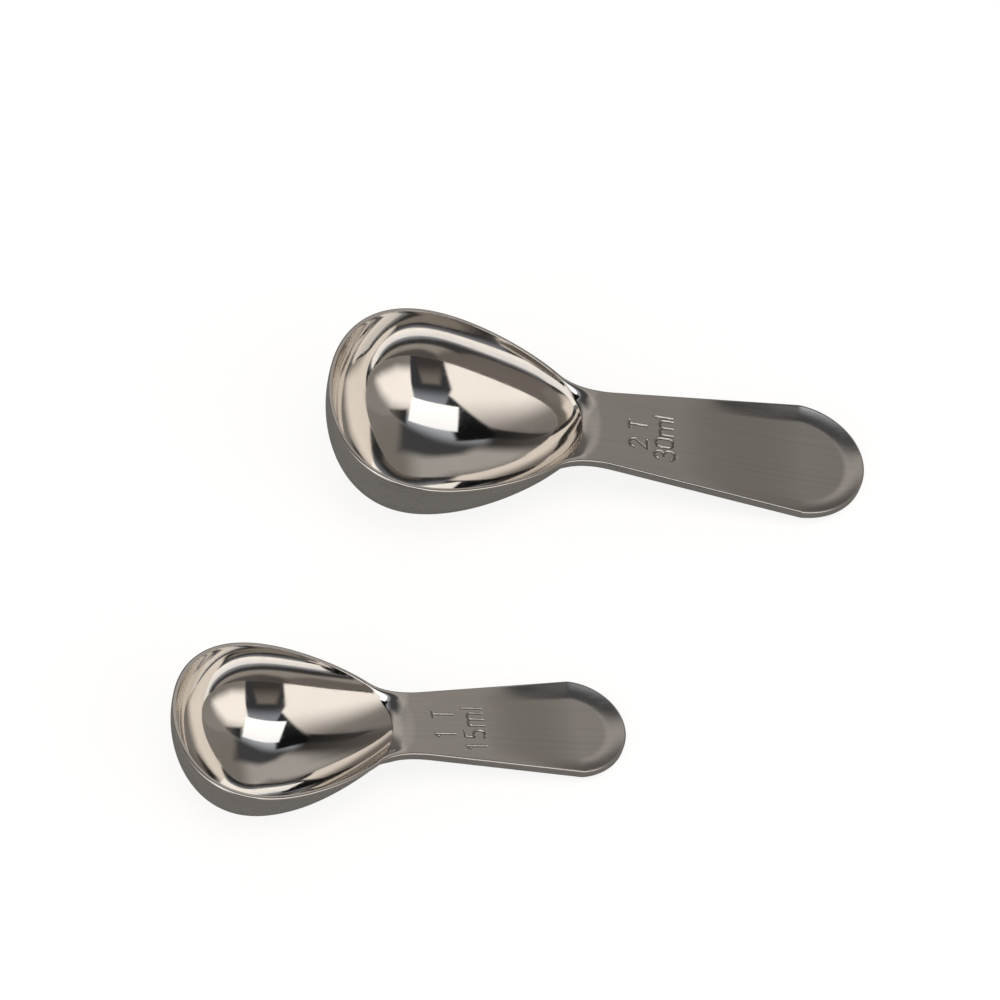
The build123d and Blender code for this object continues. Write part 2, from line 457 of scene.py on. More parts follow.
    def sweep_from(self, turn: np.ndarray, depth: np.ndarray, grow: float) -> np.ndarray:
        """Sweep angles at which the wall reaches a depth.

        Args:
            turn: turns that the wall faces.
            depth: depth below the rim at each turn.
            grow: 0 for the inside, the wall for the outside.

        Returns:
            The sweep angles.
        """
        top = self.cut(turn)[0]
        share = top + (1 - top) * depth / (self.depth + grow)
        return np.arcsin(share ** (self.wall_power(turn) / 2))


@dataclass(frozen=True)
class Handle:
    """Flat handle that widens to a rounded tip with a shallow dish.

    Attributes:
        neck_x: where the neck's curve ends.
        neck_width: width there.
        shoulder_x: where the straight sides end.
        shoulder_width: width there.
        tip_x: end of the tip.
        dish_x: where the dish starts.
        dish_depth: depth of the dish at the tip.
    """

    neck_x: float
    neck_width: float
    shoulder_x: float
    shoulder_width: float
    tip_x: float
    dish_x: float
    dish_depth: float

    def tip_radius(self) -> float:
        """Radius of the tip's arc."""
        rise = self.tip_x - self.shoulder_x
        return (rise**2 + (self.shoulder_width / 2) ** 2) / (2 * rise)

    def side_direction(self) -> np.ndarray:
        """Direction of the straight right side.

        Returns:
            A vector of length 1 along and across the scoop.
        """
        run = self.shoulder_x - self.neck_x
        rise = (self.shoulder_width - self.neck_width) / 2
        return np.array([run, rise]) / hypot(run, rise)

    def run(self, start: np.ndarray, leave: np.ndarray) -> np.ndarray:
        """Right half of the handle's outline, from the bowl to the middle of the tip.

        Args:
            start: where the side leaves the bowl.
            leave: its direction there.

        Returns:
            Closely spaced points.
        """
        along = self.side_direction()
        outward = np.array([-along[1], along[0]])
        neck = np.array([self.neck_x, self.neck_width / 2])
        reach = float(np.linalg.norm(neck - start))
        t = np.linspace(0, 1, SIDE_STEPS + 1)[:-1, None]
        curve = (
            (2 * t**3 - 3 * t**2 + 1) * start
            + (t**3 - 2 * t**2 + t) * leave * reach
            + (3 * t**2 - 2 * t**3) * neck
            + (t**3 - t**2) * along * reach
        )
        radius = self.tip_radius()
        middle = np.array([self.tip_x - radius, 0.0])
        shoulder = np.array([self.shoulder_x, self.shoulder_width / 2])
        base = shoulder - outward * TIP_CORNER - middle
        lean = float(base @ along)
        inner = radius - TIP_CORNER
        offset = base + along * (-lean + sqrt(lean**2 - float(base @ base) + inner**2))
        corner = middle + offset
        first = atan2(outward[1], outward[0])
        last = atan2(offset[1], offset[0])
        bend = np.linspace(first, last, CORNER_POINTS)[:, None]
        corner_arc = corner + TIP_CORNER * np.hstack([np.cos(bend), np.sin(bend)])
        sweep = np.linspace(last, 0, TIP_STEPS + 1)[1:, None]
        tip_arc = middle + radius * np.hstack([np.cos(sweep), np.sin(sweep)])
        return np.concatenate([curve, neck[None], corner_arc, tip_arc])


class StrokeFont:
    """Plain single-stroke figures and letters for stamped capacity marks.

    Attributes:
        SHARES: strokes of each letter, as shares of a figure's width and height.
        ADVANCE_SHARES: widths of the letters that aren't as wide as a figure.
    """

    SHARES = {
        "0": [
            [(0.0, 0.3), (0.0, 0.7)],
            [(0.0, 0.7), (0.5, 1.0), (1.0, 0.7)],
            [(1.0, 0.7), (1.0, 0.3)],
            [(1.0, 0.3), (0.5, 0.0), (0.0, 0.3)],
        ],
        "1": [[(0.5, 0.0), (0.5, 1.0)], [(0.5, 1.0), (0.15, 0.82)]],
        "2": [
            [(0.0, 0.76), (0.52, 1.0), (0.96, 0.68)],
            [(0.96, 0.68), (0.0, 0.0)],
            [(0.0, 0.0), (1.0, 0.0)],
        ],
        "3": [
            [(0.05, 0.86), (0.92, 0.76), (0.4, 0.54)],
            [(0.4, 0.54), (1.0, 0.27), (0.0, 0.12)],
        ],
        "5": [
            [(0.9, 1.0), (0.15, 1.0)],
            [(0.15, 1.0), (0.06, 0.56)],
            [(0.06, 0.56), (1.0, 0.32), (0.0, 0.08)],
        ],
        "T": [[(0.0, 1.0), (0.9, 1.0)], [(0.45, 1.0), (0.45, 0.0)]],
        "m": [
            [(0.0, 0.0), (0.0, 0.76)],
            [(0.0, 0.54), (0.42, 0.76), (0.84, 0.54)],
            [(0.84, 0.54), (0.84, 0.0)],
            [(0.84, 0.54), (1.26, 0.76), (1.68, 0.54)],
            [(1.68, 0.54), (1.68, 0.0)],
        ],
        "l": [[(0.0, 0.0), (0.0, 1.0)]],
        " ": [],
    }
    ADVANCE_SHARES = {"m": 1.68, "l": 0.0, " ": 0.4, "T": 0.9}

    @staticmethod
    def bend(points: list[tuple[float, float]]) -> list[tuple[float, float]]:
        """Draws a stroke, straight through two points or round through three.

        Args:
            points: the stroke's two or three points.

        Returns:
            Points along the stroke.
        """
        if len(points) == 2:
            return points
        (ax, ay), (bx, by), (cx, cy) = points
        d = 2 * (ax * (by - cy) + bx * (cy - ay) + cx * (ay - by))
        a2, b2, c2 = ax * ax + ay * ay, bx * bx + by * by, cx * cx + cy * cy
        ux = (a2 * (by - cy) + b2 * (cy - ay) + c2 * (ay - by)) / d
        uy = (a2 * (cx - bx) + b2 * (ax - cx) + c2 * (bx - ax)) / d
        start, middle, end = (atan2(y - uy, x - ux) for x, y in points)
        turn = (end - start) % (2 * pi)
        if (middle - start) % (2 * pi) > turn:
            turn -= 2 * pi
        radius = hypot(ax - ux, ay - uy)
        angles = [start + turn * k / STROKE_STEPS for k in range(STROKE_STEPS + 1)]
        return [(ux + radius * cos(a), uy + radius * sin(a)) for a in angles]


@dataclass(frozen=True)
class Mark:
    """One stamped capacity mark, read across the handle.

    Attributes:
        text: what it says.
        base_x: place of its base line along the handle.
        start_y: place of its first stroke across the handle.
        cap_height: height of its figures.
        digit_width: width of a figure.
        gap: gap between letters.
        stroke: width of the groove.
        depth: depth of the groove.
    """

    text: str
    base_x: float
    start_y: float
    cap_height: float
    digit_width: float
    gap: float
    stroke: float
    depth: float

    def segments(self) -> np.ndarray:
        """Straight bits of all strokes.

        Returns:
            Rows of start x, start y, end x and end y.
        """
        bits = []
        start = self.start_y
        for letter in self.text:
            for stroke in StrokeFont.SHARES[letter]:
                points = [(u * self.digit_width, v * self.cap_height) for u, v in stroke]
                line = StrokeFont.bend(points)
                for (u0, v0), (u1, v1) in zip(line[:-1], line[1:]):
                    bits.append((self.base_x - v0, start + u0, self.base_x - v1, start + u1))
            advance = StrokeFont.ADVANCE_SHARES.get(letter, 1.0) * self.digit_width
            start += advance + self.gap
        return np.array(bits)

    def groove(self, x: np.ndarray, y: np.ndarray) -> np.ndarray:
        """Depth of the groove.

        Args:
            x: places of the points along the scoop.
            y: places of the points across it.

        Returns:
            The depth under each point.
        """
        nearest = np.full(x.shape, self.stroke)
        for x0, y0, x1, y1 in self.segments():
            along = np.array([x1 - x0, y1 - y0])
            t = ((x - x0) * along[0] + (y - y0) * along[1]) / max(float(along @ along), WELD**2)
            t = np.clip(t, 0, 1)
            away = np.hypot(x - x0 - t * along[0], y - y0 - t * along[1])
            nearest = np.minimum(nearest, away)
        return self.depth * smooth(GROOVE_REACH - nearest / (self.stroke / 2))


@dataclass(frozen=True)
class Scoop:
    """One pressed scoop: bowl, neck, handle and capacity marks in one mesh.

    Attributes:
        name: name of its mesh object.
        bowl: its bowl.
        handle: its handle.
        marks: its stamped capacity marks.
        mount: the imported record's face on its rim and the handle's top.
        mount_along: how far from the mouth's middle that face's point lies.
        marks_from: where the fine part of the mesh under the marks starts.
        marks_to: where it ends.
        marks_half: half its width across the handle.
        polished_to: how far along the scoop its neck is mirror polished.
    """

    name: str
    bowl: Bowl
    handle: Handle
    marks: tuple[Mark, ...]
    mount: str
    mount_along: float
    marks_from: float
    marks_to: float
    marks_half: float
    polished_to: float

    def lip(self, turn: np.ndarray) -> tuple[np.ndarray, np.ndarray]:
        """Size of the mouth's lip, which slopes in widely at the neck.

        Args:
            turn: turns round the mouth.

        Returns:
            Its width and its drop at each turn.
        """
        near = pi - np.abs(np.mod(turn, 2 * pi) - pi)
        thin = smooth((near - LIP_START) / (NECK_TURN - LIP_START))
        wide = smooth((near - NECK_TURN) / (LIP_TURN - NECK_TURN))
        width = RIM_ROUND + LIP_THIN * thin + (LIP_ROLL - LIP_THIN - RIM_ROUND) * wide
        width = (width**-LIP_HOLD + self.lip_room(turn) ** -LIP_HOLD) ** (-1 / LIP_HOLD)
        return width, LIP_DROP * (width - RIM_ROUND / 2)

    def lip_room(self, turn: np.ndarray) -> np.ndarray:
        """Room for the lip between the mouth and the rounded side of the handle.

        Args:
            turn: turns round the mouth.

        Returns:
            The room at each turn.
        """
        _, points, normals = self.outline()
        side = (points - normals * (EDGE_ROUND + LIP_MARGIN))[::-1]
        along = side[:, 0] - self.bowl.seat_x
        reach, ray_x, ray_y = self.bowl.ray(turn, 0.0)
        bearing = np.arctan2(np.abs(ray_y), ray_x)
        bearings = np.arctan2(side[:, 1], along)
        return np.interp(bearing, bearings, np.hypot(along, side[:, 1])) - reach

    def ring_point(self, turn: np.ndarray, share: float) -> np.ndarray:
        """Points on the rim's flat top.

        Args:
            turn: turns round the mouth.
            share: 0 at the rolled lip, 1 at the outer rounding.

        Returns:
            A point for each turn.
        """
        reach, ray_x, ray_y = self.bowl.ray(turn, 0.0)
        width = self.lip(turn)[0]
        lip_x = self.bowl.seat_x + (reach + width) * ray_x
        lip_y = (reach + width) * ray_y
        out_x, out_y = self.bowl.outline(turn, WALL - EDGE_ROUND)
        x = lip_x + (out_x - lip_x) * share
        y = lip_y + (out_y - lip_y) * share
        return np.stack([x, y, np.zeros_like(x)], -1)

    def lip_rows(self, turn: np.ndarray) -> np.ndarray:
        """Lip of the mouth, from the bowl's wall over its inner edge to the flat top.

        Args:
            turn: turns round the mouth.

        Returns:
            Points as rows, columns and coordinates.
        """
        width, drop = self.lip(turn)
        low = self.bowl.surface(turn, self.bowl.sweep_from(turn, drop + RIM_ROUND, 0.0), 0.0)
        edge = self.bowl.surface(turn, self.bowl.sweep_from(turn, drop, 0.0), 0.0)
        top = self.ring_point(turn, 0.0)
        bend = (LIP_EDGE_SHARE * RIM_ROUND / width)[:, None]
        over = edge + (top - edge) * bend
        over[..., 2] = -drop * (1 - bend[:, 0]) ** LIP_BEND
        t = np.linspace(0, 1, LIP_EDGE_ROWS + 1)[:-1, None, None]
        corner = low * (1 - t) ** 2 + edge * 2 * t * (1 - t) + over * t**2
        t = np.linspace(0, 1, LIP_ROWS + 1)[:, None, None]
        slope = over + (top - over) * t
        slope[..., 2] = over[..., 2] * (1 - t[..., 0]) ** LIP_BEND
        return np.concatenate([corner, slope])

    def neck_start(self) -> tuple[np.ndarray, np.ndarray]:
        """Start of the handle's side on the bowl.

        Returns:
            The place where the side leaves the bowl, and its direction there.
        """
        turns = np.array([NECK_TURN, NECK_TURN + TURN_STEP])
        x, y = self.bowl.outline(turns, WALL)
        direction = np.array([x[1] - x[0], y[1] - y[0]])
        return np.array([x[0], y[0]]), direction / np.linalg.norm(direction)

    def outline(self) -> tuple[np.ndarray, np.ndarray, np.ndarray]:
        """Right half of the handle's outline.

        Returns:
            Lengths along it, its points and its outward normals.
        """
        points = self.handle.run(*self.neck_start())
        steps = np.diff(points, axis=0)
        lengths = np.concatenate([[0.0], np.cumsum(np.hypot(steps[:, 0], steps[:, 1]))])
        along = np.gradient(points, axis=0)
        along[0], along[-1] = self.neck_start()[1], np.array([0.0, -1.0])
        along /= np.linalg.norm(along, axis=1)[:, None]
        return lengths, points, np.column_stack([-along[:, 1], along[:, 0]])

    def stations(self) -> tuple[np.ndarray, int, int]:
        """Lengths along the outline where the rows of the handle's grid end.

        Returns:
            The lengths, and the rows at which the neck ends and the tip begins.
        """
        handle = self.handle
        lengths, _, _ = self.outline()
        neck = float(lengths[SIDE_STEPS])
        lean = float(handle.side_direction()[0])

        def length_at(x: float) -> float:
            """Length at which the straight side is this far along the handle."""
            return neck + (x - handle.neck_x) / lean

        marks_count = round((self.marks_to - self.marks_from) / MARK_STEP)
        tip_x = handle.shoulder_x - TIP_LEAD
        rest = round((tip_x - self.marks_to) / HANDLE_STEP)
        lead = round((self.marks_from - handle.neck_x) / HANDLE_STEP)
        corner = float(lengths[-1]) - handle.tip_radius() * TIP_SWEEP
        grade = 1 - (1 - np.linspace(0, 1, TIP_ROWS + 1)) ** TIP_GRADE
        start = length_at(tip_x)
        rows = [
            np.linspace(0, neck, NECK_ROWS + 1),
            np.linspace(neck, length_at(self.marks_from), lead + 1)[1:],
            np.linspace(length_at(self.marks_from), length_at(self.marks_to), marks_count + 1)[1:],
            np.linspace(length_at(self.marks_to), start, rest + 1)[1:],
            (start + (corner - start) * grade)[1:],
        ]
        return np.concatenate(rows), NECK_ROWS, sum(len(row) for row in rows[:-1]) - 1

    def strip_columns(self) -> tuple[np.ndarray, np.ndarray]:
        """Outline of the whole handle, as the columns of its edge.

        Returns:
            The points in one run, and their outward normals.
        """
        lengths, points, normals = self.outline()
        stations, _, _ = self.stations()
        shares = self.column_shares()
        tip = stations[-1] + (1 - np.abs(shares)) * (lengths[-1] - stations[-1])
        side = np.where(shares < 0, -1.0, 1.0)
        run = np.concatenate([stations[:-1], tip, stations[-2::-1]])
        hand = np.concatenate([np.ones(len(stations) - 1), side, -np.ones(len(stations) - 1)])
        place = [np.interp(run, lengths, points[:, k]) for k in (0, 1)]
        normal = [np.interp(run, lengths, normals[:, k]) for k in (0, 1)]
        points = np.column_stack([place[0], place[1] * hand])
        normals = np.column_stack([normal[0], normal[1] * hand])
        return points, normals / np.linalg.norm(normals, axis=1)[:, None]

    def column_shares(self) -> np.ndarray:
        """Places of the lengthwise lines across the handle.

        Returns:
            The places as shares of its half width, from 1 on the right to -1.
        """
        half = self.handle.neck_width / 2 - EDGE_ROUND
        ring = [half - RING_STEP * k for k in range(RING_ROWS)]
        inner = half - RING_STEP * RING_ROWS
        flank_count = max(2, round((inner - self.marks_half) / FLANK_STEP))
        flank = np.linspace(inner, self.marks_half, flank_count + 1)
        core_count = 2 * round(self.marks_half / MARK_STEP)
        core = np.linspace(self.marks_half, -self.marks_half, core_count + 1)[1:-1]
        right = np.concatenate([ring, flank])
        return np.concatenate([right, core, -right[::-1]]) / half

    def neck_turns(self) -> np.ndarray:
        """Turns round the neck where the lengthwise lines leave the mouth.

        Returns:
            The turns, from the neck's right side to its left side.
        """
        shares = self.column_shares()[RING_ROWS:-RING_ROWS]
        turns = np.linspace(NECK_TURN, 2 * pi - NECK_TURN, NECK_SAMPLES)
        places = self.ring_point(turns, 0.0)[:, 1]
        wanted = shares / shares[0] * places[0]
        return np.interp(-wanted, -places, turns)

    def front_turns(self) -> np.ndarray:
        """Turns round the front of the mouth, from neck side to neck side."""
        return np.linspace(-NECK_TURN, NECK_TURN, FRONT_COLUMNS + 1)

    def dish(self, x: np.ndarray, y: np.ndarray) -> np.ndarray:
        """Depth of the handle's dish.

        Args:
            x: places of the points along the scoop.
            y: places of the points across it.

        Returns:
            The depth under each point.
        """
        handle = self.handle
        _, points, _ = self.outline()
        away = np.full(x.shape, handle.tip_x)
        for (x0, y0), (x1, y1) in zip(points[:-1], points[1:]):
            run = np.array([x1 - x0, y1 - y0])
            t = ((x - x0) * run[0] + (np.abs(y) - y0) * run[1]) / float(run @ run)
            t = np.clip(t, 0, 1)
            away = np.minimum(away, np.hypot(x - x0 - t * run[0], np.abs(y) - y0 - t * run[1]))
        reach = (x - handle.dish_x) / (handle.tip_x - handle.dish_x)
        depth = handle.dish_depth * smooth(reach * DISH_PACE)
        fall = np.clip((away - EDGE_ROUND) / DISH_WALL, 0, 1)
        return depth * (1 - (1 - fall) ** DISH_BEND)

    @staticmethod
    def patch(
        first: np.ndarray, last: np.ndarray, right: np.ndarray, left: np.ndarray, across: np.ndarray
    ) -> np.ndarray:
        """Fills four joined edges with a grid.

        Args:
            first: points of the first row.
            last: points of the last row.
            right: points of the first column.
            left: points of the last column.
            across: place of each column, from 0 to 1.

        Returns:
            Points as rows, columns and coordinates.
        """
        length = np.cumsum(np.r_[0, np.linalg.norm(np.diff(right, axis=0), axis=1)])
        t = (length / length[-1])[:, None, None]
        s = across[None, :, None]
        base = first[None] * (1 - t) + last[None] * t
        right_off = right[:, None] - (first[0] * (1 - t) + last[0] * t)
        left_off = left[:, None] - (first[-1] * (1 - t) + last[-1] * t)
        return base + right_off * (1 - s) + left_off * s

    def neck_grid(self, first: np.ndarray, right: np.ndarray) -> np.ndarray:
        """Grid over the neck, whose lines run from the bowl without crossing the sides.

        Args:
            first: its first row, which follows the bowl.
            right: the right side of the neck.

        Returns:
            Points as rows, columns and coordinates.
        """
        length = np.cumsum(np.r_[0, np.linalg.norm(np.diff(right, axis=0), axis=1)])
        t = (length / length[-1])[:, None]
        x = right[:, :1] + (first[:, 0] - right[0, 0]) * (1 - t)
        start = first[:, 1] / np.interp(first[:, 0], right[:, 0], right[:, 1])
        share = start * (1 - t) + self.column_shares() * t
        y = np.interp(x, right[:, 0], right[:, 1]) * share
        place = np.stack([x, y], -1)
        for _ in range(EVEN_STEPS):
            down = (place[2:, 1:-1] - place[:-2, 1:-1]) / 2
            over = (place[1:-1, 2:] - place[1:-1, :-2]) / 2
            skew = (place[2:, 2:] - place[2:, :-2] - place[:-2, 2:] + place[:-2, :-2]) / 4
            rows = (over**2).sum(-1)[..., None]
            columns = (down**2).sum(-1)[..., None]
            mixed = (down * over).sum(-1)[..., None]
            pull = rows * (place[2:, 1:-1] + place[:-2, 1:-1])
            pull += columns * (place[1:-1, 2:] + place[1:-1, :-2]) - 2 * mixed * skew
            place[1:-1, 1:-1] = pull / (2 * (rows + columns))
        return np.concatenate([place, np.broadcast_to(right[:, None, 2:], (*x.shape, 1))], -1)

    def sheet_grid(self, edge: np.ndarray, first: np.ndarray) -> np.ndarray:
        """Grid over the handle from the bowl to the tip.

        Args:
            edge: its sides and end, as one row of the handle's edge.
            first: its first row, which follows the bowl.

        Returns:
            Points as rows, columns and coordinates.
        """
        stations, neck_row, tip_row = self.stations()
        shares = self.column_shares()
        across = (1 - shares) / 2
        count = len(stations)
        right, left = edge[:count], edge[::-1][:count]
        last = edge[count - 1 : count - 1 + len(shares)]

        def straight(row: int) -> np.ndarray:
            """Points straight across the handle."""
            return right[row] + (left[row] - right[row]) * across[:, None]

        neck = self.neck_grid(first, right[: neck_row + 1])
        middle = np.array([straight(row) for row in range(neck_row + 1, tip_row)])
        tip = self.patch(straight(tip_row), last, right[tip_row:], left[tip_row:], across)
        return np.concatenate([neck, middle, tip])

    def edge_rows(self) -> tuple[np.ndarray, np.ndarray]:
        """Rows down the handle's edge: a rounding, a wall and a rounding.

        Returns:
            How far each row lies inside the outline, and its height.
        """
        arc = np.linspace(0, pi / 2, EDGE_ROWS + 1)
        wall = np.linspace(-EDGE_ROUND, EDGE_ROUND - PLATE, WALL_ROWS + 1)[1:-1]
        upper, lower = EDGE_ROUND * (1 - np.sin(arc)), EDGE_ROUND * (1 - np.cos(arc))
        rise, fall = EDGE_ROUND * (np.cos(arc) - 1), EDGE_ROUND * np.sin(arc)
        inset = np.concatenate([upper, wall * 0, lower])
        height = np.concatenate([rise, wall, EDGE_ROUND - PLATE - fall])
        return inset, height

    def outer_upper(self, turn: np.ndarray) -> np.ndarray:
        """Outside of the bowl from the rim's flat top down by the plate's thickness.

        Args:
            turn: turns of the columns.

        Returns:
            Points as rows, columns and coordinates.
        """
        inset, height = self.edge_rows()
        rows = []
        for row, (step, level) in enumerate(zip(inset, height)):
            if row <= EDGE_ROWS:
                x, y = self.bowl.outline(turn, WALL - step)
                rows.append(np.stack([x, y, np.full(len(x), level)], -1))
            else:
                sweep = self.bowl.sweep_from(turn, np.full(len(turn), -level), WALL)
                rows.append(self.bowl.surface(turn, sweep[None], WALL)[0])
        return np.array(rows)

    def outer_lower(self, turn: np.ndarray) -> np.ndarray:
        """Outside of the bowl below the plate, with the fillet under the neck.

        Args:
            turn: turns of the columns.

        Returns:
            Points as rows, columns and coordinates.
        """
        first = self.bowl.sweep_from(turn, np.full(len(turn), PLATE), WALL)
        pace = np.linspace(0, 1, BOWL_ROWS + 1)[:, None] ** LOWER_PACE
        sweep = first + (pi / 2 - first) * pace
        grid = self.bowl.surface(turn, sweep, WALL)
        turned = np.mod(turn, 2 * pi)
        near = (pi - np.abs(turned - pi) - NECK_TURN) / (FILLET_TURN - NECK_TURN)
        sunk = np.clip(-PLATE - grid[..., 2], 0, NECK_FILLET)
        stand = NECK_FILLET - np.sqrt(NECK_FILLET**2 - (NECK_FILLET - sunk) ** 2)
        grid[..., 0] += smooth(near) * stand
        return grid

    def build(self) -> bpy.types.Object:
        """Builds the scoop in its own frame.

        Returns:
            The object, before it is placed.
        """
        grids = GridMesh()
        front, neck = self.front_turns(), self.neck_turns()
        around = np.concatenate([front, neck[1:-1]])
        roll_sweep = self.bowl.sweep_from(around, self.lip(around)[1] + RIM_ROUND, 0.0)
        pace = np.linspace(0, 1, BOWL_ROWS + 1)[:, None]
        sweep = roll_sweep + (pi / 2 - roll_sweep) * pace
        grids.add(self.bowl.surface(around, sweep, 0.0)[::-1], Finish.BOWL, closed=True)
        grids.add(self.lip_rows(front), Finish.RIM)
        grids.add(self.lip_rows(neck), Finish.HANDLE)
        ring = np.array([self.ring_point(front, k / RING_ROWS) for k in range(RING_ROWS + 1)])
        grids.add(ring, Finish.RIM)
        upper = self.outer_upper(front)
        grids.add(upper[: EDGE_ROWS + 1], Finish.RIM)
        grids.add(upper[EDGE_ROWS:], Finish.OUTSIDE)
        grids.add(self.outer_lower(around), Finish.OUTSIDE, closed=True)

        strip = self.edge_strip(upper)
        grids.add(strip, Finish.EDGE)
        ends = np.array([NECK_TURN, -NECK_TURN])
        corner = np.array([self.ring_point(ends, 1 - k / RING_ROWS) for k in range(RING_ROWS)])
        arc = self.ring_point(neck, 0.0)
        top = self.sheet_grid(strip[0], np.concatenate([corner[:, 0], arc, corner[::-1, 1]]))
        top[..., 2] -= self.dish(top[..., 0], top[..., 1])
        marked = np.zeros(top.shape[:2], bool)
        for mark in self.marks:
            sunk = mark.groove(top[..., 0], top[..., 1])
            top[..., 2] -= sunk
            # points deep in a groove get the marks' finish, with its painted shade
            marked |= sunk > MARK_FLOOR * mark.depth
        grids.add(top, Finish.HANDLE, marked=marked)

        below = self.outer_lower(neck)[0]
        ends = (np.repeat(below[:1], RING_ROWS, 0), np.repeat(below[-1:], RING_ROWS, 0))
        under = self.sheet_grid(strip[-1], np.concatenate([ends[0], below, ends[1]]))
        grids.add(under, Finish.OUTSIDE)
        return grids.build(self.name)

    def edge_strip(self, upper: np.ndarray) -> np.ndarray:
        """Edge of the handle, from its top to its underside.

        Args:
            upper: the outside of the bowl above the underside's level, whose ends it
                joins.

        Returns:
            Points as rows, columns and coordinates.
        """
        points, normals = self.strip_columns()
        inset, height = self.edge_rows()
        steps = np.hypot(*np.diff(points, axis=0).T)
        run = np.concatenate([[0.0], np.cumsum(steps)])
        away = np.minimum(run, run[-1] - run)
        join = 1 - smooth(away / NECK_JOIN)
        rows = []
        for row, (step, level) in enumerate(zip(inset, height)):
            under = row > EDGE_ROWS + WALL_ROWS - 1
            shrink = (1 - join)[:, None] if under else 1.0
            place = points - normals * step * shrink
            line = np.column_stack([place, np.full(len(place), level)])
            right = upper[row, -1] - line[0]
            left = upper[row, 0] - line[-1]
            half = len(line) // 2
            line[:half] += right * join[:half, None]
            line[half:] += left * join[half:, None]
            rows.append(line)
        return np.array(rows)


class Graph:
    """Adds nodes to one node tree."""

    def __init__(self, tree: bpy.types.NodeTree) -> None:
        """Starts on an emptied tree.

        Args:
            tree: the node tree of a material, a world or a group.
        """
        tree.nodes.clear()
        self.tree = tree

    def add(self, kind: str, **values: object) -> bpy.types.Node:
        """Adds a node.

        Args:
            kind: type of the node.
            values: its settings.

        Returns:
            The node.
        """
        node = self.tree.nodes.new(kind)
        for key, value in values.items():
            setattr(node, key, value)
        return node

    def feed(self, socket: bpy.types.NodeSocket, value: object) -> None:
        """Links another socket to this one, or sets its value.

        Args:
            socket: the input.
            value: a socket, or the value to set.
        """
        if isinstance(value, bpy.types.NodeSocket):
            self.tree.links.new(value, socket)
        else:
            socket.default_value = value

    def math(self, operation: str, *values: object) -> bpy.types.NodeSocket:
        """Adds a sum of numbers.

        Args:
            operation: what it does with them.
            values: the numbers, or sockets that give them.

        Returns:
            The result.
        """
        node = self.add("ShaderNodeMath", operation=operation)
        for socket, value in zip(node.inputs, values):
            self.feed(socket, value)
        return node.outputs[0]

    def ramp(
        self, value: object, low: float, high: float, to_low: float = 0.0, to_high: float = 1.0
    ) -> bpy.types.NodeSocket:
        """Smooth ramp between two values.

        Args:
            value: what it follows.
            low: where it starts.
            high: where it ends.
            to_low: result at the start.
            to_high: result at the end.

        Returns:
            The result.
        """
        node = self.add("ShaderNodeMapRange", interpolation_type="SMOOTHSTEP")
        names = ("Value", "From Min", "From Max", "To Min", "To Max")
        for name, number in zip(names, (value, low, high, to_low, to_high)):
            self.feed(node.inputs[name], number)
        return node.outputs[0]

    def noise(
        self, place: object, scale: float, detail: float = 2.0, roughness: float = 0.5
    ) -> bpy.types.NodeSocket:
        """Adds a noise.

        Args:
            place: the place that it follows.
            scale: its fineness.
            detail: how many finer layers lie on it.
            roughness: how strong each finer layer is.

        Returns:
            The noise, from 0 to 1.
        """
        node = self.add("ShaderNodeTexNoise")
        names = ("Vector", "Scale", "Detail", "Roughness")
        for name, value in zip(names, (place, scale, detail, roughness)):
            self.feed(node.inputs[name], value)
        return node.outputs[0]

    def mix(self, share: object, first: object, second: object) -> bpy.types.NodeSocket:
        """Mixes two colours.

        Args:
            share: share of the second colour.
            first: the first colour.
            second: the second colour.

        Returns:
            The mixed colour.
        """
        node = self.add("ShaderNodeMix", data_type="RGBA")
        for index, value in zip(MIX_INPUTS, (share, first, second)):
            self.feed(node.inputs[index], value)
        return node.outputs[MIX_OUTPUT]

    def place(self, own: Matrix) -> bpy.types.NodeSocket:
        """Adds the place on the object in a frame of its own.

        Args:
            own: matrix of that frame in the object.

        Returns:
            The place.
        """
        node = self.add("ShaderNodeMapping", vector_type="TEXTURE")
        node.inputs["Location"].default_value = own.to_translation()
        node.inputs["Rotation"].default_value = own.to_euler()
        self.feed(node.inputs["Vector"], self.add("ShaderNodeTexCoord").outputs["Object"])
        return node.outputs[0]

    def group(self, tree: bpy.types.NodeTree, **values: object) -> bpy.types.Node:
        """Adds a node group and feeds its inputs.

        Args:
            tree: the group.
            values: its inputs by name.

        Returns:
            The group's node.
        """
        node = self.add("ShaderNodeGroup", node_tree=tree)
        for name, value in values.items():
            self.feed(node.inputs[name], value)
        return node


def new_group(
    name: str, inputs: dict[str, str], outputs: dict[str, str]
) -> tuple[Graph, bpy.types.Node, bpy.types.Node]:
    """Starts a node group.

    Args:
        name: name of the group.
        inputs: type of each input.
        outputs: type of each output.

    Returns:
        Its graph, its input node and its output node.
    """
    tree = bpy.data.node_groups.new(name, "ShaderNodeTree")
    for label, kind in inputs.items():
        tree.interface.new_socket(label, in_out="INPUT", socket_type=f"NodeSocket{kind}")
    for label, kind in outputs.items():
        tree.interface.new_socket(label, in_out="OUTPUT", socket_type=f"NodeSocket{kind}")
    graph = Graph(tree)
    return graph, graph.add("NodeGroupInput"), graph.add("NodeGroupOutput")


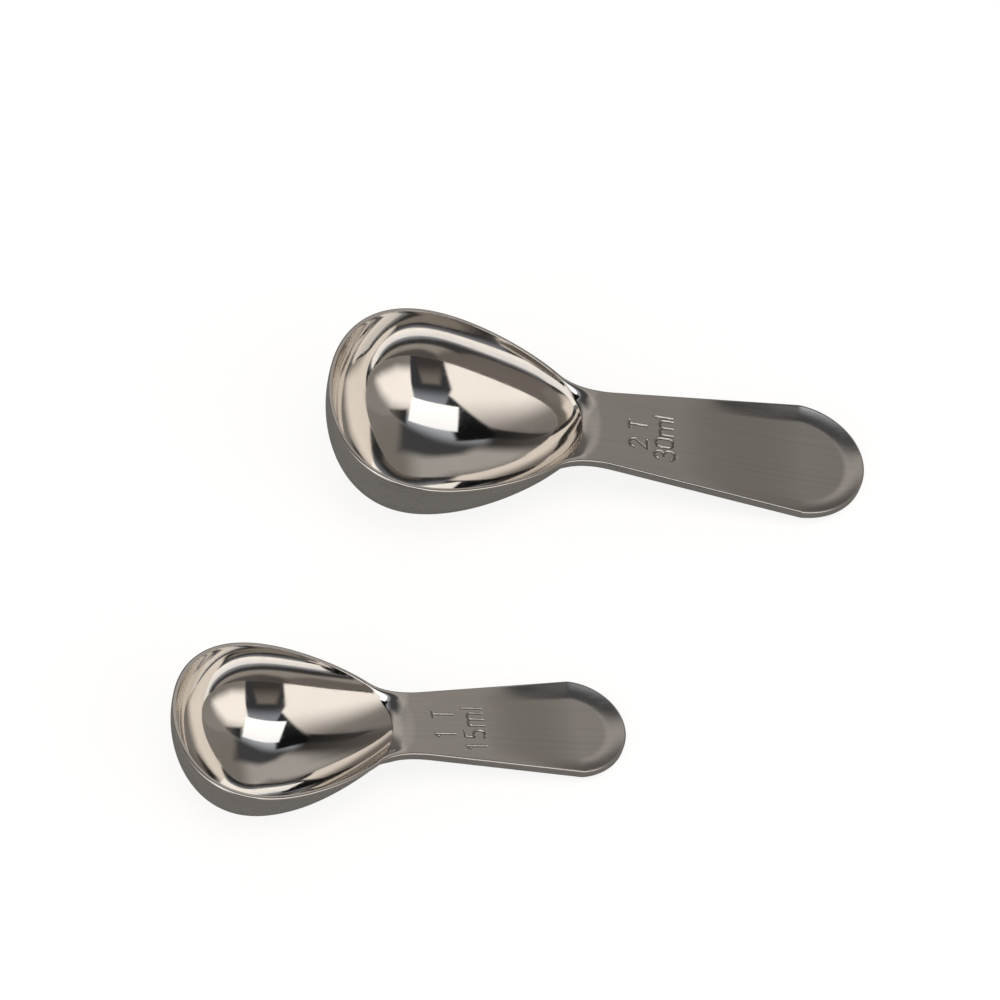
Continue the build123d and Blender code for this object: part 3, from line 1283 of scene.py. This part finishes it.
class Effects:
    """Node groups that several finishes share.

    Attributes:
        grain: the brushed grain.
        wear: the haze and waviness of the polish.
    """

    def __init__(self) -> None:
        """Builds each group once."""
        self.grain = self.build_grain()
        self.wear = self.build_wear()

    @staticmethod
    def build_grain() -> bpy.types.NodeTree:
        """Brushed grain: fine lines, with broad lighter and darker bands.

        Returns:
            The group.
        """
        graph, given, result = new_group(
            "brushed_grain",
            {"Place": "Vector", "Stretch": "Vector"},
            {"Lines": "Float", "Bands": "Float", "Height": "Float"},
        )
        placed = graph.add("ShaderNodeVectorMath", operation="MULTIPLY")
        graph.feed(placed.inputs[0], given.outputs["Place"])
        graph.feed(placed.inputs[1], given.outputs["Stretch"])
        fine = graph.noise(placed.outputs[0], scale=1.0, detail=3.0, roughness=0.6)
        broad = graph.noise(placed.outputs[0], scale=0.16, detail=1.0)
        lines = graph.ramp(fine, low=0.28, high=0.72)
        bands = graph.ramp(broad, low=0.3, high=0.7)
        graph.feed(result.inputs["Lines"], lines)
        graph.feed(result.inputs["Bands"], bands)
        graph.feed(result.inputs["Height"], graph.math("MULTIPLY_ADD", bands, BAND_RELIEF, lines))
        return graph.tree

    @staticmethod
    def build_wear() -> bpy.types.NodeTree:
        """Faint haze and waviness of a polished sheet.

        Returns:
            The group.
        """
        graph, given, result = new_group(
            "polish_wear",
            {"Place": "Vector"},
            {"Haze": "Float", "Wave": "Float"},
        )
        haze = graph.noise(given.outputs["Place"], scale=900.0, detail=4.0, roughness=0.7)
        wave = graph.noise(given.outputs["Place"], scale=260.0, detail=1.0)
        graph.feed(result.inputs["Haze"], graph.ramp(haze, low=0.45, high=0.75))
        graph.feed(result.inputs["Wave"], wave)
        return graph.tree


@dataclass(frozen=True)
class Steel:
    """One finish of the steel sheet.

    Attributes:
        name: name of the material.
        light: colour of the clean metal.
        dark: colour in the grain's lines.
        smooth: roughness of the clean metal.
        rough: roughness in the lines.
        stretch: fineness of the grain along the scoop, across it and upward.
        relief: depth of the grain.
        wave: depth of the polish's waviness.
        polished_to: how far along the scoop the mirror polish reaches, or nothing.
    """

    name: str
    light: tuple[float, float, float, float]
    dark: tuple[float, float, float, float]
    smooth: float
    rough: float
    stretch: tuple[float, float, float]
    relief: float = 0.0
    wave: float = 0.0
    polished_to: float | None = None

    def material(self, effects: Effects, own: Matrix) -> bpy.types.Material:
        """Builds the material.

        Args:
            effects: the shared node groups.
            own: matrix of the scoop's own frame.

        Returns:
            The material.
        """
        material = bpy.data.materials.new(self.name)
        material.use_nodes = True
        graph = Graph(material.node_tree)
        place = graph.place(own)
        grain = graph.group(effects.grain, Place=place, Stretch=self.stretch)
        wear = graph.group(effects.wear, Place=place)
        shader = graph.add("ShaderNodeBsdfPrincipled")
        shader.inputs["Metallic"].default_value = 1.0
        tone = graph.mix(grain.outputs["Bands"], self.light, self.dark)
        lines = graph.math("MULTIPLY", grain.outputs["Lines"], LINE_SHARE)
        colour = graph.mix(lines, tone, self.dark)
        rough = graph.ramp(grain.outputs["Lines"], 0.0, 1.0, self.smooth, self.rough)
        rough = graph.math("MULTIPLY_ADD", wear.outputs["Haze"], HAZE_ROUGHNESS, rough)
        height = graph.math("MULTIPLY", grain.outputs["Height"], self.relief)
        if self.polished_to is not None:
            mask = self.polish_mask(graph, place)
            colour = graph.mix(mask, POLISHED, colour)
            more = graph.math("SUBTRACT", rough, POLISHED_ROUGHNESS)
            rough = graph.math("MULTIPLY_ADD", mask, more, POLISHED_ROUGHNESS)
            height = graph.math("MULTIPLY", mask, height)
        height = graph.math("MULTIPLY_ADD", wear.outputs["Wave"], self.wave, height)
        bump = graph.add("ShaderNodeBump")
        bump.inputs["Strength"].default_value = 1.0
        bump.inputs["Distance"].default_value = 1.0
        graph.feed(bump.inputs["Height"], height)
        graph.feed(shader.inputs["Base Color"], colour)
        graph.feed(shader.inputs["Roughness"], rough)
        graph.feed(shader.inputs["Normal"], bump.outputs[0])
        output = graph.add("ShaderNodeOutputMaterial")
        graph.feed(output.inputs["Surface"], shader.outputs[0])
        return material

    def polish_mask(self, graph: Graph, place: bpy.types.NodeSocket) -> bpy.types.NodeSocket:
        """Where the brushed finish has taken over from the polished neck.

        Args:
            graph: the material's graph.
            place: place on the scoop.

        Returns:
            0 on the polished neck, 1 on the brushed handle.
        """
        parts = graph.add("ShaderNodeSeparateXYZ")
        graph.feed(parts.inputs[0], place)
        ragged = graph.noise(place, scale=700.0, detail=5.0)
        far = graph.ramp(parts.outputs[1], *POLISH_SIDES, to_high=POLISH_REACH)
        along = graph.math("SUBTRACT", parts.outputs[0], far)
        along = graph.math("MULTIPLY_ADD", ragged, POLISH_RAGGED, along)
        return graph.ramp(along, self.polished_to, self.polished_to + POLISH_FADE)


def finishes(polished_to: float, prefix: str) -> tuple[Steel, ...]:
    """Finishes of one scoop, in the order of the material slots.

    Args:
        polished_to: how far along the scoop its neck is mirror polished.
        prefix: start of the materials' names.

    Returns:
        The finishes.
    """
    satin = (0.655, 0.632, 0.605, 1.0)
    satin_dark = (0.62, 0.598, 0.572, 1.0)
    hazed = (0.725, 0.698, 0.665, 1.0)
    # Painted shade: this dark colour in the marks' grooves stands in for the shade that falls into
    # them
    stamped = (0.30, 0.285, 0.27, 1.0)
    even = (420.0, 420.0, 420.0)
    along = (60.0, 7000.0, 1800.0)
    around = (400.0, 400.0, 6000.0)
    return (
        Steel(
            name=f"{prefix}_polished_bowl",
            light=POLISHED,
            dark=hazed,
            smooth=0.035,
            rough=0.07,
            stretch=even,
            wave=3e-6,
        ),
        Steel(
            name=f"{prefix}_polished_rim",
            light=POLISHED,
            dark=hazed,
            smooth=0.06,
            rough=0.12,
            stretch=even,
            wave=1e-6,
        ),
        Steel(
            name=f"{prefix}_brushed_handle",
            light=satin,
            dark=satin_dark,
            smooth=0.15,
            rough=0.22,
            stretch=along,
            relief=1.0e-6,
            polished_to=polished_to,
        ),
        Steel(
            name=f"{prefix}_satin_outside",
            light=satin,
            dark=satin_dark,
            smooth=0.24,
            rough=0.34,
            stretch=around,
            relief=1.5e-6,
        ),
        Steel(
            name=f"{prefix}_satin_edge",
            light=satin,
            dark=satin_dark,
            smooth=0.15,
            rough=0.22,
            stretch=along,
        ),
        # marks: rougher steel whose dark colour is painted shade in the grooves
        Steel(
            name=f"{prefix}_marks_painted_groove_shade",
            light=stamped,
            dark=stamped,
            smooth=0.30,
            rough=0.42,
            stretch=along,
        ),
    )


@dataclass(frozen=True)
class Panel:
    """A bright or dark shape of the studio.

    Places are those of the sky drawn flat: the zenith is 0, the horizon lies 1 away, the
    first number grows to the right and the second one towards the camera.

    Attributes:
        corners: corners of a convex outline, in turn.
        soft: width over which its edge fades.
        start: place and colour at which its shading starts.
        end: place and colour at which its shading ends.
    """

    corners: tuple[tuple[float, float], ...]
    soft: float
    start: tuple[tuple[float, float], tuple[float, float, float]]
    end: tuple[tuple[float, float], tuple[float, float, float]]


WALL_COLOUR = (0.22, 0.20, 0.185)
PANELS = (
    # back wall, lighter behind the middle
    Panel(
        corners=((-0.50, -0.95), (0.55, -0.95), (0.48, -0.16), (-0.40, -0.16)),
        soft=0.25,
        start=((0.12, -0.40), (0.41, 0.385, 0.36)),
        end=((0.28, -0.43), (0.205, 0.188, 0.17)),
    ),
    # dim strip of wall near the table
    Panel(
        corners=((-0.9, -1.3), (0.5, -1.3), (0.14, -0.62), (-0.05, -0.45), (-0.8, -0.45)),
        soft=0.14,
        start=((0.0, -0.5), (0.13, 0.122, 0.115)),
        end=((0.0, -0.9), (0.10, 0.093, 0.088)),
    ),
    # dark corner on the left
    Panel(
        corners=((-0.74, -0.46), (-0.54, -0.50), (-0.20, -0.20), (-0.14, 0.04), (-0.30, 0.00)),
        soft=0.14,
        start=((-0.6, -0.4), (0.10, 0.09, 0.083)),
        end=((-0.2, 0.0), (0.03, 0.028, 0.028)),
    ),
    # wide panel on the left
    Panel(
        corners=(
            (-0.30, -0.04), (0.0, 0.10), (0.0, 0.70), (-0.3, 0.72),
            (-0.62, 0.62), (-0.82, 0.2), (-0.74, -0.06),
        ),
        soft=0.10,
        start=((-0.40, -0.03), (0.25, 0.23, 0.212)),
        end=((-0.34, 0.34), (1.08, 1.01, 0.935)),
    ),
    # wide panel on the right, dim round a glow that fades towards its edges
    Panel(
        corners=(
            (0.10, 0.12), (0.33, 0.0), (0.52, -0.09), (0.78, -0.13),
            (0.98, 0.05), (0.98, 0.55), (0.6, 0.84), (0.05, 0.84),
        ),
        soft=0.05,
        start=((0.50, 0.05), (0.27, 0.252, 0.235)),
        end=((0.90, 0.56), (0.22, 0.20, 0.175)),
    ),
    Panel(
        corners=(
            (0.05, 0.14), (0.39, 0.08), (0.56, 0.15), (0.70, 0.24),
            (0.72, 0.29), (0.65, 0.39), (0.41, 0.57), (0.05, 0.61),
        ),
        soft=0.20,
        start=((0.40, 0.20), (1.13, 1.06, 0.98)),
        end=((0.60, 0.50), (1.08, 1.01, 0.93)),
    ),
    # dim space behind the lamp
    Panel(
        corners=(
            (-0.22, -0.13), (-0.10, -0.25), (0.30, -0.33),
            (0.29, -0.04), (0.22, 0.05), (-0.22, 0.05),
        ),
        soft=0.09,
        start=((0.08, 0.01), (0.44, 0.47, 0.52)),
        end=((0.11, -0.13), (0.06, 0.059, 0.062)),
    ),
    # dark gap right of the lamp
    Panel(
        corners=((0.235, -0.05), (0.40, 0.0), (0.42, 0.03), (0.215, 0.11)),
        soft=0.04,
        start=((0.24, 0.02), (0.03, 0.028, 0.03)),
        end=((0.42, 0.02), (0.14, 0.125, 0.115)),
    ),
    # dark gap left of the lamp, thin where it runs out
    Panel(
        corners=(
            (-0.05, 0.36), (-0.13, 0.30), (-0.21, 0.13),
            (-0.28, -0.02), (-0.30, -0.09), (-0.08, -0.10),
        ),
        soft=0.03,
        start=((-0.13, 0.25), (0.03, 0.032, 0.037)),
        end=((-0.19, 0.0), (0.007, 0.007, 0.007)),
    ),
    Panel(
        corners=((-0.27, 0.02), (-0.42, -0.12), (-0.56, -0.27), (-0.44, -0.24), (-0.27, -0.10)),
        soft=0.03,
        start=((-0.28, -0.04), (0.02, 0.018, 0.017)),
        end=((-0.50, -0.24), (0.05, 0.046, 0.045)),
    ),
    # camera side: dim backdrop with a dark edge on either hand
    Panel(
        corners=(
            (-0.14, 0.19), (0.16, 0.24), (0.18, 0.40),
            (0.27, 0.82), (-0.34, 0.82), (-0.15, 0.38),
        ),
        soft=0.025,
        start=((0.0, 0.24), (0.27, 0.29, 0.33)),
        end=((0.0, 0.38), (0.042, 0.043, 0.047)),
    ),
    Panel(
        corners=((-0.08, 0.42), (0.06, 0.42), (0.15, 0.78), (-0.17, 0.78)),
        soft=0.05,
        start=((0.0, 0.44), (0.19, 0.165, 0.145)),
        end=((0.0, 0.68), (0.05, 0.045, 0.042)),
    ),
    # lamp overhead
    Panel(
        corners=((-0.098, -0.01), (0.212, 0.0), (0.165, 0.248), (-0.15, 0.208)),
        soft=0.012,
        start=((0.03, 0.24), (1.5, 1.47, 1.42)),
        end=((0.03, 0.0), (1.22, 1.23, 1.25)),
    ),
)


class Studio:
    """Pale table, and a world that holds the lamp and the panels round it."""

    def __init__(self, size: float, table: float) -> None:
        """Sets its sizes.

        Args:
            size: length of the table's side.
            table: how much light the table gives back.
        """
        self.size = size
        self.table = table

    def floor(self) -> bpy.types.Object:
        """Builds the table top.

        Returns:
            The table's object.
        """
        half = self.size / 2
        mesh = bpy.data.meshes.new("table_top")
        corners = [(-half, -half, 0), (half, -half, 0), (half, half, 0), (-half, half, 0)]
        mesh.from_pydata(corners, [], [(0, 1, 2, 3)])
        piece = bpy.data.objects.new("table_top", mesh)
        bpy.context.scene.collection.objects.link(piece)
        mesh.materials.append(self.floor_material())
        return piece

    def floor_material(self) -> bpy.types.Material:
        """White to the camera, with the object's shadow; a pale table to everything else.

        Returns:
            The table's material.
        """
        material = bpy.data.materials.new("pale_table")
        material.use_nodes = True
        graph = Graph(material.node_tree)
        paper = graph.noise(graph.add("ShaderNodeTexCoord").outputs["Object"], scale=30.0)
        tints = [(*(self.table * part for part in tint), 1.0) for tint in (PAPER_LIGHT, PAPER_DARK)]
        shader = graph.add("ShaderNodeBsdfDiffuse")
        graph.feed(shader.inputs["Color"], graph.mix(paper, *tints))
        path = graph.add("ShaderNodeLightPath")
        seen = graph.math("ADD", path.outputs["Is Camera Ray"], path.outputs["Is Transmission Ray"])
        seen = graph.math("MULTIPLY_ADD", path.outputs["Is Glossy Ray"], GLOSSY_SHARE, seen)
        glow = graph.add("ShaderNodeEmission")
        graph.feed(glow.inputs["Color"], (1.0, 1.0, 1.0, 1.0))
        graph.feed(glow.inputs["Strength"], graph.math("MULTIPLY", seen, FLOOR_GLOW))
        both = graph.add("ShaderNodeAddShader")
        graph.feed(both.inputs[0], shader.outputs[0])
        graph.feed(both.inputs[1], glow.outputs[0])
        output = graph.add("ShaderNodeOutputMaterial")
        graph.feed(output.inputs["Surface"], both.outputs[0])
        return material

    @staticmethod
    def edge_group() -> bpy.types.NodeTree:
        """Group that tells how far inside one straight edge a place of the sky lies.

        Returns:
            The group.
        """
        graph, given, result = new_group(
            "panel_edge",
            {"Across": "Float", "Toward": "Float", "X": "Float", "Y": "Float", "Offset": "Float"},
            {"Depth": "Float"},
        )
        first = graph.math("MULTIPLY_ADD", *(given.outputs[n] for n in ("Across", "X", "Offset")))
        depth = graph.math("MULTIPLY_ADD", given.outputs["Toward"], given.outputs["Y"], first)
        graph.feed(result.inputs["Depth"], depth)
        return graph.tree

    @staticmethod
    def cover(
        graph: Graph, edge: bpy.types.NodeTree, panel: Panel, sky: tuple[object, object]
    ) -> bpy.types.NodeSocket:
        """Where a panel covers the sky.

        Args:
            graph: the world's graph.
            edge: the group for one straight edge.
            panel: the panel.
            sky: place in the flat sky, to the right and towards the camera.

        Returns:
            1 inside the panel, 0 outside it.
        """
        inside: object = 1.0
        around = panel.corners + panel.corners[:1]
        turn = sum(x0 * y1 - x1 * y0 for (x0, y0), (x1, y1) in zip(around[:-1], around[1:]))
        for (x0, y0), (x1, y1) in zip(around[:-1], around[1:]):
            length = hypot(x1 - x0, y1 - y0) * (1 if turn > 0 else -1)
            nx, ny = -(y1 - y0) / length, (x1 - x0) / length
            offset = -nx * x0 - ny * y0
            depth = graph.group(edge, Across=sky[0], Toward=sky[1], X=nx, Y=ny, Offset=offset)
            inside = graph.math("MINIMUM", inside, depth.outputs["Depth"])
        return graph.ramp(inside, -panel.soft / 2, panel.soft / 2)

    @staticmethod
    def shade(graph: Graph, panel: Panel, sky: tuple[object, object]) -> bpy.types.NodeSocket:
        """Colour of a panel, shaded from its start to its end.

        Args:
            graph: the world's graph.
            panel: the panel.
            sky: place in the flat sky, to the right and towards the camera.

        Returns:
            The colour.
        """
        (x0, y0), first = panel.start
        (x1, y1), last = panel.end
        reach = (x1 - x0) ** 2 + (y1 - y0) ** 2
        step = graph.math("MULTIPLY", graph.math("SUBTRACT", sky[0], x0), (x1 - x0) / reach)
        rise = graph.math("SUBTRACT", sky[1], y0)
        share = graph.math("MULTIPLY_ADD", rise, (y1 - y0) / reach, step)
        return graph.mix(graph.ramp(share, 0.0, 1.0), (*first, 1.0), (*last, 1.0))

    def world(self) -> bpy.types.World:
        """Builds the world from the panels, each laid over the ones before it.

        Returns:
            The world.
        """
        world = bpy.data.worlds.new("studio")
        world.use_nodes = True
        graph = Graph(world.node_tree)
        edge = self.edge_group()
        parts = graph.add("ShaderNodeSeparateXYZ")
        graph.feed(parts.inputs[0], graph.add("ShaderNodeTexCoord").outputs["Generated"])
        above = graph.math("ADD", graph.math("MAXIMUM", parts.outputs[2], SKY_LOWEST), 1.0)
        across = graph.math("DIVIDE", parts.outputs[0], above)
        toward = graph.math("MULTIPLY", graph.math("DIVIDE", parts.outputs[1], above), -1.0)
        sky = (across, toward)
        colour: object = (*WALL_COLOUR, 1.0)
        for panel in PANELS:
            share = self.cover(graph, edge, panel, sky)
            colour = graph.mix(share, colour, self.shade(graph, panel, sky))
        background = graph.add("ShaderNodeBackground")
        background.inputs["Strength"].default_value = SKY_STRENGTH
        graph.feed(background.inputs["Color"], colour)
        output = graph.add("ShaderNodeOutputWorld")
        graph.feed(output.inputs["Surface"], background.outputs[0])
        return world


@dataclass(frozen=True)
class Viewpoint:
    """Camera at the photograph's viewing angle.

    Attributes:
        target: point of the table in the middle of the picture.
        elevation: height of the view above the table, as an angle.
        distance: distance of the camera.
        lens: focal length in millimetres.
    """

    target: tuple[float, float, float]
    elevation: float
    distance: float
    lens: float

    def place(self) -> bpy.types.Object:
        """Creates the camera.

        Returns:
            The camera's object.
        """
        data = bpy.data.cameras.new("camera")
        data.lens = self.lens
        data.sensor_width = SENSOR
        data.clip_start = NEAREST
        camera = bpy.data.objects.new("camera", data)
        bpy.context.scene.collection.objects.link(camera)
        back = Vector((0.0, -cos(self.elevation), sin(self.elevation)))
        up = Vector((0.0, sin(self.elevation), cos(self.elevation)))
        frame = Matrix((Vector((1.0, 0.0, 0.0)), up, back)).transposed().to_4x4()
        frame.translation = Vector(self.target) + back * self.distance
        camera.matrix_world = frame
        return camera


VIEWPOINT = Viewpoint(
    target=(-5.64 * MM, 29.82 * MM, 0.0),
    elevation=radians(50.56),
    distance=1148.4 * MM,
    lens=191.7,
)

LARGE_LETTERS = {
    "cap_height": 3.9 * MM,
    "digit_width": 2.4 * MM,
    "gap": 0.95 * MM,
    "stroke": 0.6 * MM,
    "depth": 0.24 * MM,
}
SMALL_LETTERS = {
    "cap_height": 4.4 * MM,
    "digit_width": 1.9 * MM,
    "gap": 1.25 * MM,
    "stroke": 0.46 * MM,
    "depth": 0.17 * MM,
}
LARGE = Scoop(
    name="large_scoop_shell",
    bowl=Bowl(
        mouth_length=55.2 * MM,
        mouth_breadth=46.8 * MM,
        depth=21.9 * MM,
        seat_x=-3.8 * MM,
        fullness=(2.25, 2.15, 1.63),
        settle=4.5 * MM,
        slope_share=0.06,
    ),
    handle=Handle(
        neck_x=34.0 * MM,
        neck_width=20.6 * MM,
        shoulder_x=75.5 * MM,
        shoulder_width=30.5 * MM,
        tip_x=89.7 * MM,
        dish_x=49.0 * MM,
        dish_depth=0.95 * MM,
    ),
    marks=(
        Mark(text="2 T", base_x=41.3 * MM, start_y=-4.2 * MM, **LARGE_LETTERS),
        Mark(text="30ml", base_x=47.1 * MM, start_y=-6.5 * MM, **LARGE_LETTERS),
    ),
    mount="large_rim_face",
    mount_along=32.0 * MM,
    marks_from=36.6 * MM,
    marks_to=47.8 * MM,
    marks_half=7.0 * MM,
    polished_to=27.9 * MM,
)
SMALL = Scoop(
    name="small_scoop_shell",
    bowl=Bowl(
        mouth_length=46.1 * MM,
        mouth_breadth=37.3 * MM,
        depth=17.3 * MM,
        seat_x=-3.4 * MM,
        fullness=(2.22, 2.03, 1.43),
        settle=3.8 * MM,
        slope_share=0.24,
    ),
    handle=Handle(
        neck_x=29.5 * MM,
        neck_width=16.7 * MM,
        shoulder_x=61.0 * MM,
        shoulder_width=24.0 * MM,
        tip_x=71.8 * MM,
        dish_x=41.0 * MM,
        dish_depth=0.85 * MM,
    ),
    marks=(
        Mark(text="1 T", base_x=35.1 * MM, start_y=-3.65 * MM, **SMALL_LETTERS),
        Mark(text="15ml", base_x=41.4 * MM, start_y=-6.7 * MM, **SMALL_LETTERS),
    ),
    mount="small_rim_face",
    mount_along=27.0 * MM,
    marks_from=30.1 * MM,
    marks_to=42.0 * MM,
    marks_half=6.9 * MM,
    polished_to=23.9 * MM,
)


def main() -> None:
    """Builds both scoops, the table and the light."""
    logging.basicConfig(level=logging.INFO, format="%(name)s: %(message)s")
    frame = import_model()
    effects = Effects()
    for scoop, node in ((LARGE, "large_scoop"), (SMALL, "small_scoop")):
        own = Pose.from_mount(frame["record"], scoop.mount, scoop.mount_along).matrix()
        piece = scoop.build()
        for finish in finishes(scoop.polished_to, node):
            piece.data.materials.append(finish.material(effects, own))
        piece.data.transform(own)
        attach(piece, node)
        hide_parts(node)
        log.info("%s: %d faces", piece.name, len(piece.data.polygons))
    studio = Studio(size=6.0, table=0.38)
    table = studio.floor()
    log.info("%s: %d faces", table.name, len(table.data.polygons))
    scene = bpy.context.scene
    scene.world = studio.world()
    scene.camera = VIEWPOINT.place()
    scene.view_settings.view_transform = "Standard"
    scene.cycles.glossy_bounces = GLOSSY_BOUNCES


if __name__ == "__main__":
    main()
